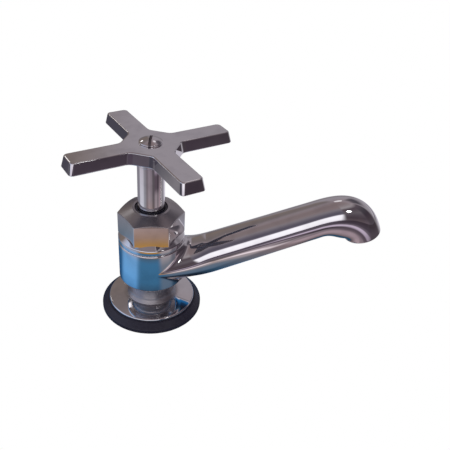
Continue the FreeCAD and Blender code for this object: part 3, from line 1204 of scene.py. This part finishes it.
def makeScrew():
    size = screw
    rise = size["crown"] - size["edge"]
    domeRadius = (size["headRadius"] ** 2 + rise ** 2) / 2 / rise
    spread = math.asin(size["headRadius"] / domeRadius)
    steps = [spread * step / size["domeRows"] for step in range(size["domeRows"] - 1, -1, -1)]
    piece = turned("handleScrew", size, [
        (0, "bottom", 0),
        ("radius", "bottom", 0.3),
        ("radius", "seat", 0),
        ("headRadius", "seat", 0),
        ("headRadius", "edge", 0.25),
        *[(domeRadius * math.sin(angle), size["crown"] - domeRadius * (1 - math.cos(angle)), 0)
          for angle in steps],
    ], size["around"])
    turn = math.radians(size["slotAzimuth"])
    along = Vector((math.cos(turn), math.sin(turn), 0)) * 2 * size["headRadius"]
    across = Vector((-math.sin(turn), math.cos(turn), 0)) * size["slotWidth"] / 2
    corners = []
    for end in (-1, 1):
        level = Vector((0, 0, size["crown"] + end * size["slotDepth"]))
        for far, side in ((-1, -1), (1, -1), (1, 1), (-1, 1)):
            corners.append((along * far + across * side + level) * mm)
    slot = meshed("slot", corners, [
        (3, 2, 1, 0), (4, 5, 6, 7), (0, 1, 5, 4), (1, 2, 6, 5), (2, 3, 7, 6), (3, 0, 4, 7),
    ])
    carved(piece, slot, "DIFFERENCE")
    evenShading(piece, 30)
    screwChrome = makeChrome("screwChrome", slotShade)
    return fitted(piece, "handle", "chrome_plate", "handle_screw", material=screwChrome)


makeScrew()
print("screw made")


# CAD pieces that keep their solids

plainPieces = [
    (blackRubber, ["under_deck_washer", "seat_washer"]),
    (zincSteel, ["backnut_washer", "screw_washer"]),
    (brass, ["backnut", "gland_nut", "packing_washer", "spindle"]),
    (brass, ["jumper", "jumper_washer", "jumper_nut"]),
    (pressedFibre, ["bonnet_seal", "lower_packing_ring", "upper_packing_ring"]),
]
for material, names in plainPieces:
    for name in names:
        nodes[name].data.materials.clear()
        nodes[name].data.materials.append(material)


# Floor, surroundings and lights

def tone(red, green, blue):
    # Display values from 0 to 255 as linear light.
    return [
        value / 255 / 12.92 if value < 10.31475 else ((value / 255 + 0.055) / 1.055) ** 2.4
        for value in (red, green, blue)
    ]


# What the chrome mirrors is a table below and a room above. A side has a middle azimuth, a half
# width and a softness in degrees, and lies over the sides before it.
room = {
    "floorSize": 4.0,
    "brightness": 1.16,
    "sides": {
        "rightBack": (38, 20, 8),
        "leftBack": (125, 29, 5),
        "left": (199, 33, 16),
        "farRight": (-12, 21, 6),
        "right": (312, 20, 8),
        "front": (262, 31, 13),
        "nearRight": (303, 14, 3),
    },
    "tableHeight": 0.0002,
    "tableReach": 0.5,
    # Brightness of the streaks on the table round the cloth, by turn from the right.
    "streakFrom": (0.080, 0.095),
    "streakTo": (0.150, 0.170),
    "streakMost": 5.0,
    "streaks": [
        (0.0, 0.55), (0.10, 0.55), (0.16, 1.7), (0.22, 1.0), (0.45, 1.0), (0.465, 2.0),
        (0.56, 1.9), (0.59, 1.0), (0.66, 0.8), (0.70, 1.3), (0.765, 1.0), (0.79, 0.45),
        (0.82, 0.6), (0.85, 1.0), (0.885, 0.9), (0.90, 0.4), (0.915, 0.9), (0.935, 1.1),
        (0.945, 2.0), (0.963, 2.0), (0.985, 1.2), (1.0, 0.55),
    ],
    "clothCorner": {"place": (0.106, 0.012), "edge": (0.0096, 0.016), "colour": (52, 98, 130)},
    "diffuse": (0.8, 0.8, 0.82, 1),
}

# Display colours of the table, by distance in metres, and of the room, by the sine of elevation.
nearBack = [
    (0.030, 24, 36, 56), (0.037, 36, 78, 118), (0.055, 42, 84, 124), (0.065, 70, 100, 126),
    (0.075, 92, 105, 118), (0.100, 124, 122, 132), (0.170, 128, 124, 132),
]
tableShades = {
    "back": [*nearBack, (0.200, 134, 130, 134), (0.500, 142, 138, 141)],
    "leftBack": [*nearBack, (0.200, 72, 70, 80), (0.500, 64, 62, 72)],
    "rightBack": [
        (0.030, 24, 50, 80), (0.037, 30, 90, 140), (0.058, 50, 110, 160),
        (0.070, 110, 128, 150), (0.090, 160, 156, 166), (0.115, 198, 193, 203),
        (0.200, 200, 195, 205), (0.500, 120, 115, 122),
    ],
    "left": [
        (0.030, 40, 70, 100), (0.037, 80, 134, 184), (0.045, 98, 156, 208),
        (0.062, 104, 154, 200), (0.068, 144, 156, 182), (0.085, 146, 148, 156),
        (0.150, 134, 130, 138), (0.190, 78, 74, 84), (0.500, 64, 62, 72),
    ],
    "farRight": [
        (0.030, 24, 34, 48), (0.040, 48, 76, 100), (0.060, 96, 98, 108), (0.080, 120, 106, 110),
        (0.115, 110, 96, 102), (0.135, 88, 78, 84), (0.155, 68, 60, 65), (0.250, 76, 68, 75),
        (0.500, 62, 54, 60),
    ],
    "right": [
        (0.030, 30, 42, 58), (0.037, 84, 102, 122), (0.050, 90, 106, 124),
        (0.058, 104, 110, 122), (0.066, 150, 142, 146), (0.076, 160, 148, 150),
        (0.082, 236, 222, 226), (0.090, 220, 206, 210), (0.098, 150, 137, 143),
        (0.118, 142, 130, 137), (0.126, 88, 76, 86), (0.144, 88, 76, 86),
        (0.156, 190, 174, 192), (0.186, 184, 169, 187), (0.205, 104, 94, 104),
        (0.270, 70, 61, 71), (0.500, 60, 51, 59),
    ],
    "front": [
        (0.030, 28, 40, 55), (0.037, 50, 75, 98), (0.045, 56, 102, 136), (0.062, 58, 106, 142),
        (0.067, 70, 92, 112), (0.071, 182, 134, 52), (0.077, 156, 119, 76),
        (0.084, 146, 121, 108), (0.095, 143, 124, 122), (0.115, 128, 118, 124),
        (0.170, 112, 102, 112), (0.230, 96, 87, 96), (0.300, 82, 75, 88), (0.500, 76, 66, 78),
    ],
}
roomShades = {
    "back": [
        (0.0, 116, 110, 114), (0.20, 130, 124, 129), (0.34, 142, 136, 142),
        (0.56, 144, 137, 143), (0.77, 142, 132, 137), (0.90, 138, 126, 131),
        (0.96, 125, 110, 112), (1.0, 122, 108, 109),
    ],
    "rightBack": [
        (0.0, 176, 171, 180), (0.12, 150, 145, 152), (0.34, 142, 136, 142),
        (0.50, 112, 106, 112), (0.62, 72, 68, 75), (0.80, 84, 78, 84), (0.90, 138, 126, 131),
        (1.0, 122, 108, 109),
    ],
    "leftBack": [
        (0.0, 108, 101, 104), (0.20, 108, 100, 100), (0.34, 116, 104, 98),
        (0.77, 110, 101, 101), (0.90, 130, 119, 123), (1.0, 122, 108, 109),
    ],
    "left": [
        (0.0, 196, 195, 210), (0.17, 208, 212, 226), (0.30, 160, 158, 176),
        (0.50, 186, 198, 224), (0.62, 176, 188, 214), (0.68, 122, 118, 128),
        (0.90, 122, 110, 111), (1.0, 120, 106, 108),
    ],
    "farRight": [
        (0.0, 76, 69, 76), (0.17, 66, 57, 63), (0.34, 58, 50, 58), (0.50, 64, 60, 66),
        (0.76, 84, 74, 81), (0.87, 142, 133, 136), (1.0, 122, 108, 110),
    ],
    "right": [
        (0.0, 92, 80, 88), (0.17, 70, 61, 68), (0.34, 82, 73, 80), (0.50, 96, 89, 94),
        (0.76, 78, 67, 74), (0.87, 146, 139, 142), (1.0, 122, 108, 110),
    ],
    "front": [
        (0.0, 215, 208, 218), (0.05, 246, 242, 248), (0.38, 252, 250, 254),
        (0.43, 236, 232, 240), (0.48, 100, 94, 106), (0.60, 82, 78, 90), (0.72, 98, 92, 103),
        (0.84, 121, 114, 120), (0.93, 125, 111, 113), (1.0, 122, 108, 109),
    ],
    "nearRight": [
        (0.0, 88, 77, 82), (0.17, 72, 62, 68), (0.34, 82, 73, 80), (0.50, 96, 89, 94),
        (0.76, 80, 70, 76), (0.87, 146, 139, 142), (1.0, 122, 108, 110),
    ],
}


def flatCard(name, size, height):
    half = size / 2
    corners = [(-half, -half), (half, -half), (half, half), (-half, half)]
    return meshed(name, [(*corner, height) for corner in corners], [(0, 1, 2, 3)])


def glow(finish, colour, strength=1.0):
    light = finish.node("ShaderNodeEmission", {}, {"Color": colour, "Strength": strength})
    finish.node("ShaderNodeOutputMaterial", {}, {"Surface": light})


def allRound(finish, x, y, amount, ramps, reach=1.0):
    # One colour ramp for each side of the tap, laid over those before it.
    far = distance(x, y)
    across, along = x / far, y / far
    shade = None
    for side, stops in ramps.items():
        ramp = finish.node(
            "ShaderNodeValToRGB",
            {"stops": [(place / reach, tone(*shade)) for place, *shade in stops]},
            {"Fac": amount},
        )
        if shade is None:
            shade = ramp
            continue
        azimuth, width, softness = (math.radians(value) for value in room["sides"][side])
        facing = across * math.cos(azimuth) + along * math.sin(azimuth)
        inside = finish.between(
            facing, 0.0, 1.0, math.cos(width + softness), math.cos(width - softness)
        )
        shade = finish.mixed(inside, shade, ramp)
    return shade


def hidden(thing, *rays):
    for kind in rays:
        setattr(thing, "visible_" + kind, False)
    return thing


def makeFloor():
    floor = flatCard("floor", room["floorSize"], 0.0)
    material, finish = newFinish("paleFloor")
    glow(finish, (1, 1, 1, 1))
    floor.data.materials.append(material)
    return hidden(floor, "glossy", "diffuse", "shadow")


def makeTable():
    table = flatCard("tableBelow", room["floorSize"], room["tableHeight"])
    material, finish = newFinish("tableBelow")
    x, y = axes(finish)[:2]
    far = distance(x, y)
    reach = room["tableReach"]
    shade = allRound(finish, x, y, far / reach, tableShades, reach)
    turn = (y.maths("ARCTAN2", x) / (2 * math.pi) + 1.0).maths("FRACT")
    stops = [(place, [light / room["streakMost"]] * 3) for place, light in room["streaks"]]
    streaks = finish.node("ShaderNodeValToRGB", {"stops": stops}, {"Fac": turn})
    inRing = finish.between(far, 0.0, 1.0, *room["streakFrom"])
    inRing = inRing * finish.between(far, 1.0, 0.0, *room["streakTo"])
    light = 1.0 + inRing * (streaks * room["streakMost"] - 1.0)
    corner = room["clothCorner"]
    place = distance(x - corner["place"][0], y - corner["place"][1])
    onCorner = finish.between(place, 1.0, 0.0, *corner["edge"])
    shade = finish.mixed(onCorner, shade, (*tone(*corner["colour"]), 1))
    glow(finish, shade, light * room["brightness"])
    table.data.materials.append(material)
    return hidden(table, "camera", "diffuse", "shadow", "transmission")


makeFloor()
makeTable()


def makeWorld():
    world = bpy.data.worlds.new("studio")
    bpy.context.scene.world = world
    finish = Finish(world)
    place = finish.node("ShaderNodeTexCoord", output="Generated")
    x = finish.node("ShaderNodeSeparateXYZ", {}, {"Vector": place})
    upper = allRound(finish, x, x.beside("Y"), x.beside("Z"), roomShades)
    camera = finish.node("ShaderNodeLightPath", output="Is Camera Ray")
    seen = finish.mixed(camera.beside("Is Diffuse Ray"), upper, room["diffuse"])
    seen = finish.mixed(camera, seen, (1, 1, 1, 1))
    light = {"Color": seen, "Strength": room["brightness"]}
    light = finish.node("ShaderNodeBackground", {}, light)
    finish.node("ShaderNodeOutputWorld", {}, {"Surface": light})


makeWorld()


lampsCentre = Vector((0.03, 0, 0.05))
lamps = {
    "keyLamp": {"azimuth": -53.6, "elevation": 36.7, "away": 0.633, "size": 0.09, "power": 0.08},
    "warmLamp": {"azimuth": 65, "elevation": 63, "away": 0.6, "size": 0.13, "power": 0.022},
    "paleLamp": {"azimuth": 129, "elevation": 33, "away": 0.6, "size": 0.08, "power": 0.03},
}
for name, values in lamps.items():
    lamp = bpy.data.lights.new(name, "AREA")
    lamp.shape = "DISK"
    lamp.size = values["size"]
    lamp.energy = values["power"]
    turn, lift = math.radians(values["azimuth"]), math.radians(values["elevation"])
    level = math.cos(lift)
    towards = Vector((math.cos(turn) * level, math.sin(turn) * level, math.sin(lift)))
    thing = placed(lamp, name)
    thing.location = towards * values["away"] + lampsCentre
    thing.rotation_euler = (-towards).to_track_quat("-Z", "Y").to_euler()
print("floor, surroundings and lights made")


# Camera, as the photograph was taken

view = {
    "place": (0.0, -0.23413, 0.20372),
    "yaw": 8.603,
    "pitch": 33.533,
    "roll": 4.365,
    "lens": 46.82,
    "sensor": 36.0,
}


def makeCamera():
    lens = bpy.data.cameras.new("camera")
    lens.sensor_width = view["sensor"]
    lens.lens = view["lens"]
    lens.clip_start = 0.01
    lens.clip_end = 10
    camera = placed(lens, "camera")
    yaw, pitch, roll = (math.radians(view[name]) for name in ("yaw", "pitch", "roll"))
    turn = Matrix.Rotation(-yaw, 3, "Z") @ Matrix.Rotation(math.pi / 2 - pitch, 3, "X")
    turn = turn @ Matrix.Rotation(roll, 3, "Z")
    camera.rotation_mode = "QUATERNION"
    camera.rotation_quaternion = turn.to_quaternion()
    camera.location = view["place"]
    bpy.context.scene.camera = camera
    print("camera right", [round(value, 4) for value in turn.col[0]],
          "up", [round(value, 4) for value in turn.col[1]])


makeCamera()
bpy.context.scene.view_settings.view_transform = "Standard"
